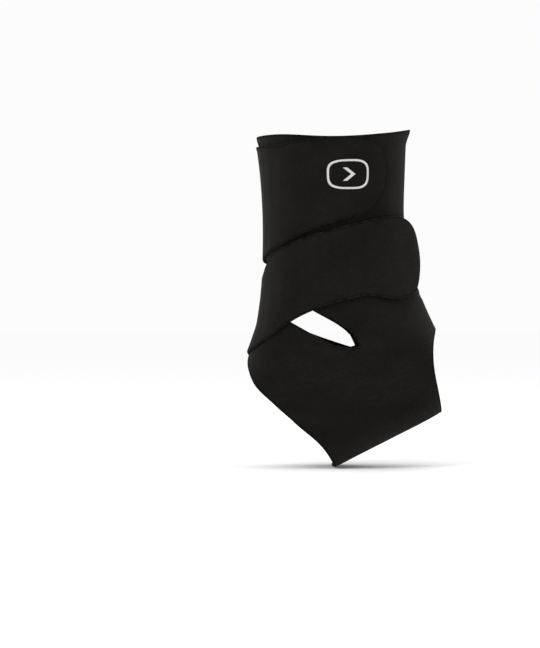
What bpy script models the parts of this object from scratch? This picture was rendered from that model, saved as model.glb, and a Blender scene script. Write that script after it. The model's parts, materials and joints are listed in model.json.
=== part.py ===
"""Ankle compression wrap with two hook-and-loop straps and a pocketed cold pack.

Blender 4.5, metres, +Z up. The wrap stands as if worn: the leg axis is upright and the foot points down
and forwards. +X is towards the heel, -X towards the toes, -Y is the inner (medial) side of a right ankle.
The origin is the middle of the flat face under the arch, where the wrap lies on an insole.

Every fabric piece is a sheet on one ankle form. A place on the form is an angle (0 at the shin, 90 on the
medial side, 180 at the heel, negative on the lateral side) and a station (0 at the top rim, 9 at the front
edge under the arch). Sheets are thickened outwards, and layers are stacked by their lift off the skin.
"""

import math

import bmesh
import bpy
import numpy as np
from mathutils import Matrix, Vector

MM = 0.001

# Fabric and fittings: thickness of each layer, and the air left between two layers.
PANEL_THICK = 1.5 * MM
STRAP_THICK = 1.5 * MM
PAD_THICK = 0.6 * MM
TAPE_THICK = 0.5 * MM
GRIP_THICK = 0.6 * MM
PRINT_THICK = 0.2 * MM
FILM_THICK = 0.3 * MM
GEL_THICK = 3.0 * MM
GAP = 0.4 * MM
STRAP_GAP = 0.7 * MM

# Lift of each layer's inner face above the skin side of the main panel.
STRAP_LIFT = PANEL_THICK + STRAP_GAP
LOOP_LIFT = PANEL_THICK + GAP
HOOK_LIFT = LOOP_LIFT + PAD_THICK + GAP
TAB_LIFT = HOOK_LIFT + PAD_THICK + GAP

# The ankle form, station by station in millimetres: front x and z, back x and z, half breadth, and how
# square the front and the back of that section are (2 is an ellipse).
SOLE_TILT = math.radians(26.8)
FORM = np.array(
    [
        (-75.5, 181.5, 10.5, 186.0, 38.0, 2.2, 2.1),
        (-72.5, 158.0, 9.5, 160.0, 36.5, 2.2, 2.1),
        (-71.0, 134.0, 9.0, 134.0, 34.5, 2.2, 2.0),
        (-71.0, 110.0, 11.5, 111.0, 33.0, 2.2, 1.9),
        (-72.0, 89.0, 18.0, 89.0, 34.0, 2.2, 1.9),
        (-74.5, 70.0, 27.0, 68.0, 35.5, 2.2, 1.9),
        (-77.5, 60.0, 40.5, 42.0, 34.5, 2.2, 2.2),
        (-80.0, 53.0, 31.0, 15.5, 34.0, 2.3, 2.6),
        (-82.2, 47.5, 0.0, -1.0, 35.5, 2.3, 3.0),
        (-84.6, 42.0, -32.5, -18.0, 36.5, 2.3, 3.0),
        (-87.5, 35.0, -52.0, -29.0, 37.5, 2.3, 3.0),
    ]
)
ANKLE_BONE = (-7.0, 66.0)  # x and z of the malleolus on both sides, mm
BONE_REACH = 12.0
BONE_RISE = 0.07

# Edges as (angle, station).
RIM = [(0, 0.0), (45, 0.04), (95, 0.18), (135, 0.13), (180, 0.0)]
FRONT_EDGE = [(0, 7.7), (20, 8.6), (42, 9.1), (75, 9.02), (105, 8.85), (140, 8.9), (180, 9.0)]
UPPER_TOP = [(-115, 0.35), (-60, 0.3), (0, 0.25), (40, 0.3), (66, 0.24), (95, 0.19), (132, 0.3)]
UPPER_BOTTOM = [(-115, 3.3), (-60, 3.3), (-25, 3.25), (0, 3.13), (27, 2.9), (48, 2.68), (74, 2.36)]
UPPER_BOTTOM += [(94, 2.15), (132, 1.8)]
LOWER_TOP = [(-140, 6.05), (-97, 5.85), (-60, 5.2), (-30, 4.4), (0, 3.68), (14, 3.36), (27, 3.04), (48, 2.76)]
LOWER_TOP += [(79, 2.44), (102, 2.24), (129, 2.06), (172, 2.05)]
LOWER_BOTTOM = [(-140, 7.9), (-97, 8.1), (-60, 8.2), (-30, 7.95), (0, 7.25), (14, 6.9), (21, 6.45)]
LOWER_BOTTOM += [(30, 5.85), (42, 5.27), (52, 4.97), (70, 4.6), (88, 4.35), (108, 4.2), (128, 4.3)]
LOWER_BOTTOM += [(150, 4.17), (172, 4.05)]

# The angle of each strap's start, then of the three lines where it bends when it is unwrapped, each as the
# angle at its top edge and at its bottom edge. Then the angles between which the free end is rounded.
UPPER_LINES = [(-112.5, -112.5), (-75.0, -75.0), (-15.0, -15.0), (52.5, 52.5)]
UPPER_TIP = (105.0, 132.0)
LOWER_LINES = [(-131.0, -121.0), (-102.0, -92.0), (-25.0, -19.0), (53.0, 65.0)]
LOWER_TIP = (142.5, 174.0)
BEND_GAP = 1.6  # degrees of strap left out at each bend line
HINGE_CLEAR = 0.5 * MM
STRAP_ROWS = 8
UPPER_KICK = 0.6 * MM  # how far each free end stands off
LOWER_KICK = 4.5 * MM
END_SQUARE = 2.6

ANGLE_STEP = 7.5
PANEL_ROWS = 26

# The mark on the upper tab, in (angle, station).
MARK_CENTRE = (99.5, 1.08)
MARK_SIZE = (15.0, 0.34)
MARK_LINE = (1.35, 0.04)
MARK_SQUARE = 0.6
CHEVRON_REACH = 6.0
CHEVRON_LINE = 3.0
CHEVRON_RISE = 0.15

# Bands and labels inside the panel.
CUFF_GRIP = (0.16, 0.42)  # stations below the rim
ARCH_GRIP = (0.62, 0.3)  # stations behind the front edge
ARCH_GRIP_ANGLES = (-150.0, 150.0)
SEAM_HALF_ANGLE = 7.0
SEAM_STATIONS = (0.55, 4.6)
LABEL_ANGLES = (141.0, 155.0)
LABEL_STATIONS = (0.62, 1.75)

# Openings of the main panel in side view, x and z in millimetres.
SLIT_LOWER = [(-17.7, 56.1), (-22.0, 55.2), (-31.0, 56.4), (-40.0, 60.6), (-57.3, 70.2), (-77.0, 81.5)]
SLIT_FRONT = [(-95.0, 87.0), (-95.0, 113.0)]
SLIT_UPPER = [(-80.0, 112.0), (-71.0, 106.5), (-66.0, 96.0), (-55.0, 84.6), (-44.1, 77.4), (-28.0, 68.4)]
SLIT_UPPER += [(-20.7, 62.4)]
HEEL_EDGE = [(30.5, 71.0), (27.3, 60.0), (26.4, 50.4), (27.3, 40.2), (30.3, 26.0), (33.0, 13.0), (36.0, 2.0)]
HEEL_CLEAR = [(70.0, 2.0), (70.0, 71.0)]
CUT_WIDTH = 120.0 * MM

# The pocket and its cold pack, inside the lateral wall. The pack is a straight upright shape, so it slides.
PACK_STATION = 3.0
PACK_ANGLES = (-140.0, -66.0)
PACK_LOW = 96.0 * MM
PACK_HIGH = 162.0 * MM
PACK_BORDER = 6.0 * MM
PACK_RADIUS = 38.0 * MM
PACK_DEPTH = 0.8 * MM  # from the skin side of the panel to the pack, at its station
POCKET_ANGLES = (-157.5, -50.0)
POCKET_STATIONS = (1.15, 4.0)
POCKET_SLOPE = 6.0 * MM
POCKET_SLOPE_ANGLE = 14.0
POCKET_DEPTH = 6.6 * MM

FABRIC_BLACK = (0.012, 0.0115, 0.0105, 1.0)
HOOK_BLACK = (0.02, 0.02, 0.02, 1.0)
SILICONE_GREY = (0.16, 0.17, 0.18, 1.0)
PRINT_GREY = (0.55, 0.56, 0.56, 1.0)
GEL_BLUE = (0.05, 0.25, 0.55, 1.0)
FILM_CLEAR = (0.55, 0.66, 0.75, 1.0)
LABEL_WHITE = (0.75, 0.75, 0.73, 1.0)


def clear_scene():
    for obj in list(bpy.data.objects):
        bpy.data.objects.remove(obj, do_unlink=True)


def material(name, colour, roughness):
    found = bpy.data.materials.get(name)
    if found:
        return found
    made = bpy.data.materials.new(name)
    made.use_nodes = True
    shader = made.node_tree.nodes["Principled BSDF"]
    shader.inputs["Base Color"].default_value = colour
    shader.inputs["Roughness"].default_value = roughness
    shader.inputs["Metallic"].default_value = 0.0
    return made


# ---------------------------------------------------------------- the ankle form


def curve(knots, values, x):
    """A smooth curve through the values at the knots: cubic Hermite with central slopes."""
    knots = np.asarray(knots, float)
    values = np.asarray(values, float)
    slopes = np.gradient(values, knots, axis=0)
    x = np.clip(np.asarray(x, float), knots[0], knots[-1])
    i = np.clip(np.searchsorted(knots, x, side="right") - 1, 0, len(knots) - 2)
    step = knots[i + 1] - knots[i]
    t = (x - knots[i]) / step
    if values.ndim > 1:
        t, step = t[..., None], step[..., None]
    return (
        (2 * t**3 - 3 * t**2 + 1) * values[i]
        + (t**3 - 2 * t**2 + t) * step * slopes[i]
        + (3 * t**2 - 2 * t**3) * values[i + 1]
        + (t**3 - t**2) * step * slopes[i + 1]
    )


def edge(points, angle):
    angles, stations = zip(*points)
    return curve(angles, stations, angle)


def smoothstep(low, high, x):
    t = np.clip((np.asarray(x, float) - low) / (high - low), 0, 1)
    return t * t * (3 - 2 * t)


def skin(angle, station):
    """The skin side of the main panel at an angle and a station, in metres."""
    angle, station = np.broadcast_arrays(np.asarray(angle, float), np.asarray(station, float))
    at = curve(range(len(FORM)), FORM, station)
    front, back, half = at[..., 0:2], at[..., 2:4], at[..., 4]
    cos, sin = np.cos(np.radians(angle)), np.sin(np.radians(angle))
    power = 2 / np.where(cos > 0, at[..., 5], at[..., 6])
    along = -np.sign(cos) * np.abs(cos) ** power
    across = np.sign(sin) * np.abs(sin) ** power
    xz = (front + back) / 2 + (back - front) / 2 * along[..., None]
    from_bone = ((xz - ANKLE_BONE) ** 2).sum(-1)
    bone = 1 + BONE_RISE * np.exp(-from_bone / (2 * BONE_REACH**2))
    place = np.stack([xz[..., 0], -half * across * bone, xz[..., 1]], -1) * MM
    return flattened(place)


def flattened(place):
    """Presses anything below the insole plane up onto it."""
    up = np.array([-math.sin(SOLE_TILT), 0, math.cos(SOLE_TILT)])
    depth = place @ up - PANEL_THICK
    return place - np.minimum(depth, 0)[..., None] * up


def outward(angle, station, step=0.05):
    """The form's outward unit normal, from differences along the angle and the station."""
    last = len(FORM) - 1
    angle, station = np.asarray(angle, float), np.asarray(station, float)
    along = skin(angle + 1, station) - skin(angle - 1, station)
    down = skin(angle, np.minimum(station + step, last)) - skin(angle, np.maximum(station - step, 0))
    normal = np.cross(down, along)
    return normal / np.linalg.norm(normal, axis=-1, keepdims=True)


def on_form(angle, station, lift):
    angle, station, lift = np.broadcast_arrays(angle, station, lift)
    return skin(angle, station) + outward(angle, station) * lift[..., None]


# ---------------------------------------------------------------- sheets, cutters and joints


def angle_lines(start, end):
    """The grid angles from start to end, on the same multiples for every layer, with both ends kept."""
    inner = np.arange(math.ceil(start / ANGLE_STEP), math.floor(end / ANGLE_STEP) + 1) * ANGLE_STEP
    clear = ANGLE_STEP / 5
    return np.array([start, *inner[(inner > start + clear) & (inner < end - clear)], end])


def add_sheet(name, points, thickness, look, ring=False):
    """A closed solid whose inner face is a grid of points [row, column] and which grows outwards from it."""
    rows, columns, _ = points.shape
    faces = []
    for row in range(rows - 1):
        for column in range(columns if ring else columns - 1):
            here, below = row * columns, (row + 1) * columns
            beside = (column + 1) % columns
            faces.append((here + column, below + column, below + beside, here + beside))
    mesh = bpy.data.meshes.new(name)
    mesh.from_pydata(points.reshape(-1, 3).tolist(), [], faces)
    mesh.materials.append(material(*look))
    mesh.shade_smooth()
    obj = bpy.data.objects.new(name, mesh)
    bpy.context.scene.collection.objects.link(obj)
    solid = obj.modifiers.new("thickness", "SOLIDIFY")
    solid.thickness = thickness
    solid.offset = 1.0
    solid.use_even_offset = True
    return obj


def bend_line(ends, top, bottom, share):
    """The angles of a line straight across a strap, given its angles at the top edge and the bottom edge."""

    def place(angle, at):
        return skin(angle, top(angle) + (bottom(angle) - top(angle)) * at)

    high, low = place(np.array(ends, float), np.array([0.0, 1.0]))
    middle = np.mean(ends)
    across = np.cross(low - high, outward(middle, (top(middle) + bottom(middle)) / 2))
    angle = ends[0] + (ends[1] - ends[0]) * share
    for _ in range(6):
        miss = (place(angle, share) - high) @ across
        slope = (place(angle + 0.5, share) - place(angle - 0.5, share)) @ across
        angle = angle - miss / slope
    return angle


def band(name, start, end, top, bottom, rows, lift, thickness, look):
    """A sheet between two lines across a strap; its edges and its lift are functions of the angle."""
    share = np.linspace(0, 1, rows)
    first, last = bend_line(start, top, bottom, share), bend_line(end, top, bottom, share)
    columns = max(2, round((last - first).mean() / ANGLE_STEP) + 1)
    angles = first[:, None] + (last - first)[:, None] * np.linspace(0, 1, columns)
    stations = top(angles) + (bottom(angles) - top(angles)) * share[:, None]
    return add_sheet(name, on_form(angles, stations, lift(angles)), thickness, look)


def rounded_tab(name, start, tip, top, bottom, rows, lift, look):
    """A strap's last stretch, from a bend line to a rounded tongue between the two angles of the tip."""
    corner, end = tip
    across = np.sin((np.linspace(0, 1, rows) - 0.5) * math.pi)
    share = (across + 1) / 2
    first = bend_line(start, top, bottom, share)
    reach = (1 - np.abs(across) ** END_SQUARE) ** (1 / END_SQUARE)
    last = corner + (end - corner) * reach
    columns = round((end - first.mean()) / ANGLE_STEP) + 2
    angles = first[:, None] + (last - first)[:, None] * np.linspace(0, 1, columns)
    stations = top(angles) + (bottom(angles) - top(angles)) * share[:, None]
    return add_sheet(name, on_form(angles, stations, lift(angles)), STRAP_THICK, look)


def prism(name, outline):
    """A cutter across the whole width, hidden, from an outline of (x, z) in millimetres."""
    shape = bmesh.new()
    corners = [shape.verts.new((x * MM, -CUT_WIDTH / 2, z * MM)) for x, z in outline]
    made = bmesh.ops.extrude_face_region(shape, geom=[shape.faces.new(corners)])
    moved = [v for v in made["geom"] if isinstance(v, bmesh.types.BMVert)]
    bmesh.ops.translate(shape, verts=moved, vec=(0, CUT_WIDTH, 0))
    bmesh.ops.recalc_face_normals(shape, faces=shape.faces)
    mesh = bpy.data.meshes.new(name)
    shape.to_mesh(mesh)
    shape.free()
    cutter = bpy.data.objects.new(name, mesh)
    bpy.context.scene.collection.objects.link(cutter)
    cutter.hide_render = True
    cutter.display_type = "WIRE"
    return cutter


def cut(obj, cutter):
    change = obj.modifiers.new(cutter.name, "BOOLEAN")
    change.operation = "DIFFERENCE"
    change.solver = "EXACT"
    change.object = cutter


def smooth_outline(points):
    """Points along a smooth curve through an outline's knots, three to each stretch."""
    last = len(points) - 1
    return curve(range(len(points)), points, np.linspace(0, last, 3 * last + 1)).tolist()


def pivot(name, start, end, parent=None):
    """An empty on a joint's axis, at the middle of the line from start to end, its Z along that line."""
    start, end = Vector(start), Vector(end)
    empty = bpy.data.objects.new(name, None)
    bpy.context.scene.collection.objects.link(empty)
    turn = (end - start).to_track_quat("Z", "Y").to_matrix().to_4x4()
    place = Matrix.Translation((start + end) / 2) @ turn
    if parent:
        empty.parent = parent
        empty.matrix_parent_inverse = parent.matrix_world.inverted()
    empty.matrix_world = place
    bpy.context.view_layer.update()
    return empty


def carry(empty, *pieces):
    for piece in pieces:
        piece.parent = empty
        piece.matrix_parent_inverse = empty.matrix_world.inverted()


# ---------------------------------------------------------------- the pieces

PANEL_LOOK = ("panel_fabric", FABRIC_BLACK, 0.85)
STRAP_LOOK = ("strap_fabric", FABRIC_BLACK, 0.85)
HOOK_LOOK = ("hook_tape", HOOK_BLACK, 0.6)
LOOP_LOOK = ("loop_tape", HOOK_BLACK, 0.95)
TAPE_LOOK = ("seam_tape", FABRIC_BLACK, 0.7)
GRIP_LOOK = ("silicone", SILICONE_GREY, 0.45)
PRINT_LOOK = ("grey_print", PRINT_GREY, 0.5)
POCKET_LOOK = ("pocket_mesh", HOOK_BLACK, 0.9)
FILM_LOOK = ("pack_film", FILM_CLEAR, 0.25)
GEL_LOOK = ("cold_gel", GEL_BLUE, 0.3)
LABEL_LOOK = ("label", LABEL_WHITE, 0.7)


def rim(angle):
    return edge(RIM, np.abs(angle))


def front_edge(angle):
    return edge(FRONT_EDGE, np.abs(angle))


def main_panel():
    """The sleeve round the leg, the ankle and the arch, open at the front of the ankle and at the heel."""
    angles = np.arange(-180, 180, ANGLE_STEP)
    wrapped = np.abs(angles)
    share = np.linspace(0, 1, PANEL_ROWS)[:, None]
    stations = rim(wrapped) + (front_edge(wrapped) - rim(wrapped)) * share
    panel = add_sheet("main_panel", skin(angles[None, :], stations), PANEL_THICK, PANEL_LOOK, ring=True)
    slit = smooth_outline(SLIT_LOWER) + SLIT_FRONT + smooth_outline(SLIT_UPPER)
    cut(panel, prism("cutter_front_opening", slit))
    cut(panel, prism("cutter_heel_opening", smooth_outline(HEEL_EDGE) + HEEL_CLEAR))
    return panel


def strap_lift(lines, tip, kick):
    """Lift of a strap: flat on the panel, over the hook and loop pads, then kicked off at the free end."""
    padded = lines[3][0]

    def lift(angle):
        over_pads = smoothstep(padded - 15, padded + 10, angle)
        free_end = smoothstep(tip[0], tip[1] + 6, angle)
        return STRAP_LIFT + (TAB_LIFT - STRAP_LIFT) * over_pads + kick * free_end**1.5

    return lift


def hinge_line(ends, top, bottom, lift):
    """The two ends of a bend line's axis, just outside the strap's outer face, top first."""
    angles = np.array(ends)
    stations = np.array([top(angles[0]), bottom(angles[1])])
    return on_form(angles, stations, lift(angles) + STRAP_THICK + HINGE_CLEAR)


def beside(line, degrees):
    return line[0] + degrees, line[1] + degrees


def strap(prefix, lines, tip, top, bottom, kick):
    """One strap as four pieces, cut at its bend lines, on a chain of three hinges."""
    lift = strap_lift(lines, tip, kick)
    half = BEND_GAP / 2
    names = ("root", "front", "side")
    starts = [lines[0], beside(lines[1], half), beside(lines[2], half)]
    ends = [beside(line, -half) for line in lines[1:]]
    pieces = [
        band(f"{prefix}_strap_{name}", start, end, top, bottom, STRAP_ROWS, lift, STRAP_THICK, STRAP_LOOK)
        for name, start, end in zip(names, starts, ends)
    ]
    tab_start = beside(lines[3], half)
    tab = rounded_tab(f"{prefix}_strap_tab", tab_start, tip, top, bottom, STRAP_ROWS + 2, lift, STRAP_LOOK)
    pieces.append(tab)
    hinges = []
    for number, line in enumerate(lines[1:], 1):
        high, low = hinge_line(line, top, bottom, lift)
        hinges.append(pivot(f"{prefix}_strap_hinge_{number}", high, low, hinges[-1] if hinges else None))
    for hinge, piece in zip(hinges, pieces[1:]):
        carry(hinge, piece)
    return hinges, lift


def inset_band(name, start, end, top, bottom, inset, lift, thickness, look):
    """A pad under a strap: a band pulled in from the strap's edges by a share of its width."""
    return band(
        name,
        (start, start),
        (end, end),
        lambda a: top(a) + (bottom(a) - top(a)) * inset,
        lambda a: bottom(a) - (bottom(a) - top(a)) * inset,
        5,
        lambda a: np.full(np.shape(a), lift),
        thickness,
        look,
    )


def upper_strap():
    def top(angle):
        return edge(UPPER_TOP, angle)

    def bottom(angle):
        return edge(UPPER_BOTTOM, angle)

    hinges, lift = strap("upper", UPPER_LINES, UPPER_TIP, top, bottom, UPPER_KICK)
    inset_band("upper_loop_pad", 67.5, 120.0, top, bottom, 0.12, LOOP_LIFT, PAD_THICK, LOOP_LOOK)
    hook = inset_band("upper_hook_pad", 75.0, 112.5, top, bottom, 0.16, HOOK_LIFT, PAD_THICK, HOOK_LOOK)
    carry(hinges[2], hook)
    carry(hinges[2], *printed_mark(lift))


def lower_strap():
    def top(angle):
        return edge(LOWER_TOP, angle)

    def bottom(angle):
        return edge(LOWER_BOTTOM, angle)

    hinges, _ = strap("lower", LOWER_LINES, LOWER_TIP, top, bottom, LOWER_KICK)
    inset_band("lower_loop_pad", 82.5, 157.5, top, bottom, 0.12, LOOP_LIFT, PAD_THICK, LOOP_LOOK)
    hook = inset_band("lower_hook_pad", 90.0, 142.5, top, bottom, 0.16, HOOK_LIFT, PAD_THICK, HOOK_LOOK)
    carry(hinges[2], hook)


def printed_mark(lift):
    """A plain grey frame with a chevron that shows which way to pull, on the upper tab."""

    def on_tab(angle, station):
        return on_form(angle, station, lift(angle) + STRAP_THICK + GAP)

    turn = -np.arange(0, 2 * math.pi, math.pi / 14)[None, :]
    inwards = np.array([[1.0], [0.0]])
    radius = MARK_SIZE[0] - MARK_LINE[0] * inwards, MARK_SIZE[1] - MARK_LINE[1] * inwards
    across = radius[0] * np.sign(np.cos(turn)) * np.abs(np.cos(turn)) ** MARK_SQUARE
    down = radius[1] * np.sign(np.sin(turn)) * np.abs(np.sin(turn)) ** MARK_SQUARE
    place = on_tab(MARK_CENTRE[0] + across, MARK_CENTRE[1] + down)
    frame = add_sheet("print_frame", place, PRINT_THICK, PRINT_LOOK, ring=True)

    climb = np.linspace(-1, 1, 9)[None, :]
    width = np.array([[0.0], [1.0]])
    across = CHEVRON_REACH * (0.5 - np.abs(climb)) + CHEVRON_LINE * (width - 0.5)
    place = on_tab(MARK_CENTRE[0] + across, MARK_CENTRE[1] + CHEVRON_RISE * climb + 0 * width)
    chevron = add_sheet("print_chevron", place, PRINT_THICK, PRINT_LOOK)
    return frame, chevron


def grips():
    """Silicone bands inside the top rim and inside the front edge, which stop the wrap from creeping."""
    inside = -(GRIP_THICK + GAP)
    angles = np.arange(-180, 180, ANGLE_STEP)
    stations = rim(angles) + np.array(CUFF_GRIP)[:, None]
    add_sheet("cuff_grip_band", on_form(angles[None, :], stations, inside), GRIP_THICK, GRIP_LOOK, ring=True)
    angles = angle_lines(*ARCH_GRIP_ANGLES)
    stations = front_edge(angles) - np.array(ARCH_GRIP)[:, None]
    add_sheet("arch_grip_band", on_form(angles[None, :], stations, inside), GRIP_THICK, GRIP_LOOK)


def seam_tape():
    """Bonded tape over the closing seam of the sleeve, inside, down the back from the rim to the heel."""
    angles = -180 + SEAM_HALF_ANGLE * np.array([-1, 0, 1])
    stations = np.linspace(*SEAM_STATIONS, 18)[:, None]
    add_sheet("back_seam_tape", on_form(angles, stations, -(TAPE_THICK + GAP)), TAPE_THICK, TAPE_LOOK)


def care_label():
    angles = np.linspace(*LABEL_ANGLES, 3)
    stations = np.linspace(*LABEL_STATIONS, 5)[:, None]
    add_sheet("care_label", on_form(angles, stations, -(PRINT_THICK + GAP)), PRINT_THICK, LABEL_LOOK)


# ---------------------------------------------------------------- the cold pack


def level_outward(angles):
    """The outward normal at the pack's station, laid level, so that the pack is an upright shape."""
    normal = outward(angles, PACK_STATION) * (1, 1, 0)
    return normal / np.linalg.norm(normal, axis=-1, keepdims=True)


def stepped(low, high, border, count):
    """Values from low to high that also fall on the border, half way through it, and its mirror image."""
    middle = np.linspace(low + border, high - border, count)
    return np.concatenate([[low, low + border / 2], middle, [high - border / 2, high]])


def pack_sheet(name, depth_at, thickness, look, inset=0.0):
    """An upright sheet of the pack. depth_at gives the depth of its inner face inside the form, from a share
    that is 0 at the pack's edge and 1 from PACK_BORDER inwards. An inset narrows the sheet by that much."""
    angles = stepped(*PACK_ANGLES, math.degrees(PACK_BORDER / PACK_RADIUS), 7)
    heights = stepped(PACK_LOW, PACK_HIGH, PACK_BORDER, 7)
    if inset:
        turn = math.degrees(inset / PACK_RADIUS)
        angles = np.clip(angles[2:-2], angles[2] + turn, angles[-3] - turn)
        heights = np.clip(heights[2:-2], heights[2] + inset, heights[-3] - inset)
    base, normal = skin(angles, PACK_STATION), level_outward(angles)
    from_side = np.radians(np.minimum(angles - PACK_ANGLES[0], PACK_ANGLES[1] - angles)) * PACK_RADIUS
    from_end = np.minimum(heights - PACK_LOW, PACK_HIGH - heights)
    inwards = np.minimum(from_side[None, :], from_end[:, None])
    depth = depth_at(smoothstep(0, PACK_BORDER * 0.99, inwards))
    points = base[None, :, :] - normal[None, :, :] * depth[..., None]
    points[..., 2] = heights[:, None]
    return add_sheet(name, points[::-1], thickness, look)


def cold_pack():
    """Two films with a gel core between them. The films close up round the core's edge."""
    outer_depth = PACK_DEPTH + FILM_THICK
    core_depth = outer_depth + GAP + GEL_THICK
    inner_depth = core_depth + GAP + FILM_THICK
    seal = (outer_depth + inner_depth) / 2
    outer_edge = seal - GAP / 2
    inner_edge = seal + GAP / 2 + FILM_THICK

    def between(edge_depth, full_depth):
        return lambda share: edge_depth + (full_depth - edge_depth) * share

    outer = pack_sheet("pack_film_outer", between(outer_edge, outer_depth), FILM_THICK, FILM_LOOK)
    inner = pack_sheet("pack_film_inner", between(inner_edge, inner_depth), FILM_THICK, FILM_LOOK)
    core = pack_sheet("gel_core", between(core_depth, core_depth), GEL_THICK, GEL_LOOK, inset=0.5 * MM)
    base = skin(-90.0, PACK_STATION)
    slide = pivot("gel_pack_slide", (base[0], base[1], PACK_LOW), (base[0], base[1], PACK_HIGH))
    carry(slide, outer, core, inner)


def pack_pocket():
    """A mesh pocket on the lateral wall's inside, bonded down both sides and the bottom, open at the top."""
    angles = angle_lines(*POCKET_ANGLES)
    stations = np.linspace(*POCKET_STATIONS, 15)[:, None]
    bonded = on_form(angles[None, :], stations, -(GAP + TAPE_THICK))
    upright = skin(angles, PACK_STATION) - level_outward(angles) * POCKET_DEPTH
    loose = np.broadcast_to(upright, bonded.shape).copy()
    loose[..., 2] = bonded[..., 2]
    from_ends = np.minimum(angles - POCKET_ANGLES[0], POCKET_ANGLES[1] - angles)
    from_sides = from_ends[None, :] / POCKET_SLOPE_ANGLE
    from_bottom = (bonded[..., 2] - bonded[-1:, :, 2]) / POCKET_SLOPE
    share = smoothstep(0, 1, from_sides) * smoothstep(0, 1, from_bottom)
    add_sheet("pack_pocket", bonded + (loose - bonded) * share[..., None], TAPE_THICK, POCKET_LOOK)


def build():
    clear_scene()
    main_panel()
    upper_strap()
    lower_strap()
    grips()
    seam_tape()
    care_label()
    cold_pack()
    pack_pocket()


build()
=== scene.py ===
"""Looks of the ankle compression wrap: thin black knit sheets on an ankle form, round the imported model.

Metres, +Z up. A place on the form is an angle (0 at the shin, 90 on the medial side, 180 at the heel,
negative on the lateral side) and a station (0 at the top rim, 9 at the front edge under the arch). A sheet
is a net of such places, thickened outwards from its lift, with rounded edges.
"""

import json
import math

import bmesh
import bpy
import numpy as np
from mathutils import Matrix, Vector
from mathutils.kdtree import KDTree


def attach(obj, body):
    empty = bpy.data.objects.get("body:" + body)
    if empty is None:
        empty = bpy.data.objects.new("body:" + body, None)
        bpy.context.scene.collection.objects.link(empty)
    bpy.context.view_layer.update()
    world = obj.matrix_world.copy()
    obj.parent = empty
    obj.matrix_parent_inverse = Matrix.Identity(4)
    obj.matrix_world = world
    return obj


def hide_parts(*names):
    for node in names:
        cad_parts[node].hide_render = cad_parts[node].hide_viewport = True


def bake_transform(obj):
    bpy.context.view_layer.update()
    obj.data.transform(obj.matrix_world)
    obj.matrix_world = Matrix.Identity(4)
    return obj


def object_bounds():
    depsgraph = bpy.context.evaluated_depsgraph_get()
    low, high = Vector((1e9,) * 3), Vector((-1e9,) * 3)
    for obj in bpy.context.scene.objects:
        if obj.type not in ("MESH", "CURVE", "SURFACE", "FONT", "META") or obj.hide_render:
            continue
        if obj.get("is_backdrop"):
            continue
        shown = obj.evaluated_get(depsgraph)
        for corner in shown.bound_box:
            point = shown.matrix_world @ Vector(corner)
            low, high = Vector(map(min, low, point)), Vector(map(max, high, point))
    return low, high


MM = 0.001
MM_PER_DEGREE = 0.66  # round the ankle

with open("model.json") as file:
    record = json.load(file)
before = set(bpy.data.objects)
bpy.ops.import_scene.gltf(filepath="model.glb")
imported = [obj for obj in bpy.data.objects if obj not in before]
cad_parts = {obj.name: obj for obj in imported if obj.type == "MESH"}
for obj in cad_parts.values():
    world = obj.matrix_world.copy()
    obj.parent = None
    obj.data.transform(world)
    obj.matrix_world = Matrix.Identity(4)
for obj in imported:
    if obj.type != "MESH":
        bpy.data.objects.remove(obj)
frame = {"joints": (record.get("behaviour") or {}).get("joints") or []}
cad_low, cad_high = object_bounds()
JOINTS = {joint["child"]: joint for joint in frame["joints"]}

# --- the ankle form, as in the CAD

PANEL_THICK = 1.5 * MM
SOLE_TILT = math.radians(26.8)
# Front x and z, back x and z, half breadth, and how square the front and the back are, in millimetres.
FORM = np.array(
    [
        (-75.5, 181.5, 10.5, 186.0, 38.0, 2.2, 2.1),
        (-72.5, 158.0, 9.5, 160.0, 36.5, 2.2, 2.1),
        (-71.0, 134.0, 9.0, 134.0, 34.5, 2.2, 2.0),
        (-71.0, 110.0, 11.5, 111.0, 33.0, 2.2, 1.9),
        (-72.0, 89.0, 18.0, 89.0, 34.0, 2.2, 1.9),
        (-74.5, 70.0, 27.0, 68.0, 35.5, 2.2, 1.9),
        (-77.5, 60.0, 40.5, 42.0, 34.5, 2.2, 2.2),
        (-80.0, 53.0, 31.0, 15.5, 34.0, 2.3, 2.6),
        (-82.2, 47.5, 0.0, -1.0, 35.5, 2.3, 3.0),
        (-84.6, 42.0, -32.5, -18.0, 36.5, 2.3, 3.0),
        (-87.5, 35.0, -52.0, -29.0, 37.5, 2.3, 3.0),
    ]
)
LAST_STATION = len(FORM) - 1
ANKLE_BONE = (-7.0, 66.0)  # x and z, the same on both sides
BONE_REACH = 12.0
BONE_RISE = 0.07

# Edges as (angle, station).
RIM = [(0, 0.0), (45, 0.04), (95, 0.18), (135, 0.13), (180, 0.0)]
FRONT_EDGE = [(0, 7.7), (20, 8.6), (42, 9.1), (75, 9.02), (105, 8.85), (140, 8.9), (180, 9.0)]
UPPER_TOP = [(-115, 0.35), (-60, 0.3), (0, 0.25), (40, 0.3), (66, 0.24), (95, 0.19), (132, 0.3)]
UPPER_BOTTOM = [(-115, 3.3), (-60, 3.3), (-25, 3.25), (0, 3.13), (27, 2.9), (48, 2.68), (74, 2.36)]
UPPER_BOTTOM += [(94, 2.15), (132, 1.8)]
LOWER_TOP = [(-140, 6.05), (-97, 5.85), (-60, 5.2), (-30, 4.4), (0, 3.68), (14, 3.36), (27, 3.04), (48, 2.76)]
LOWER_TOP += [(79, 2.44), (102, 2.24), (129, 2.06), (172, 2.05)]
LOWER_BOTTOM = [(-140, 7.9), (-97, 8.1), (-60, 8.2), (-30, 7.95), (0, 7.25), (14, 6.9), (21, 6.45)]
LOWER_BOTTOM += [(30, 5.85), (42, 5.27), (52, 4.97), (70, 4.6), (88, 4.35), (108, 4.2), (128, 4.3)]
LOWER_BOTTOM += [(150, 4.17), (172, 4.05)]

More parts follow.
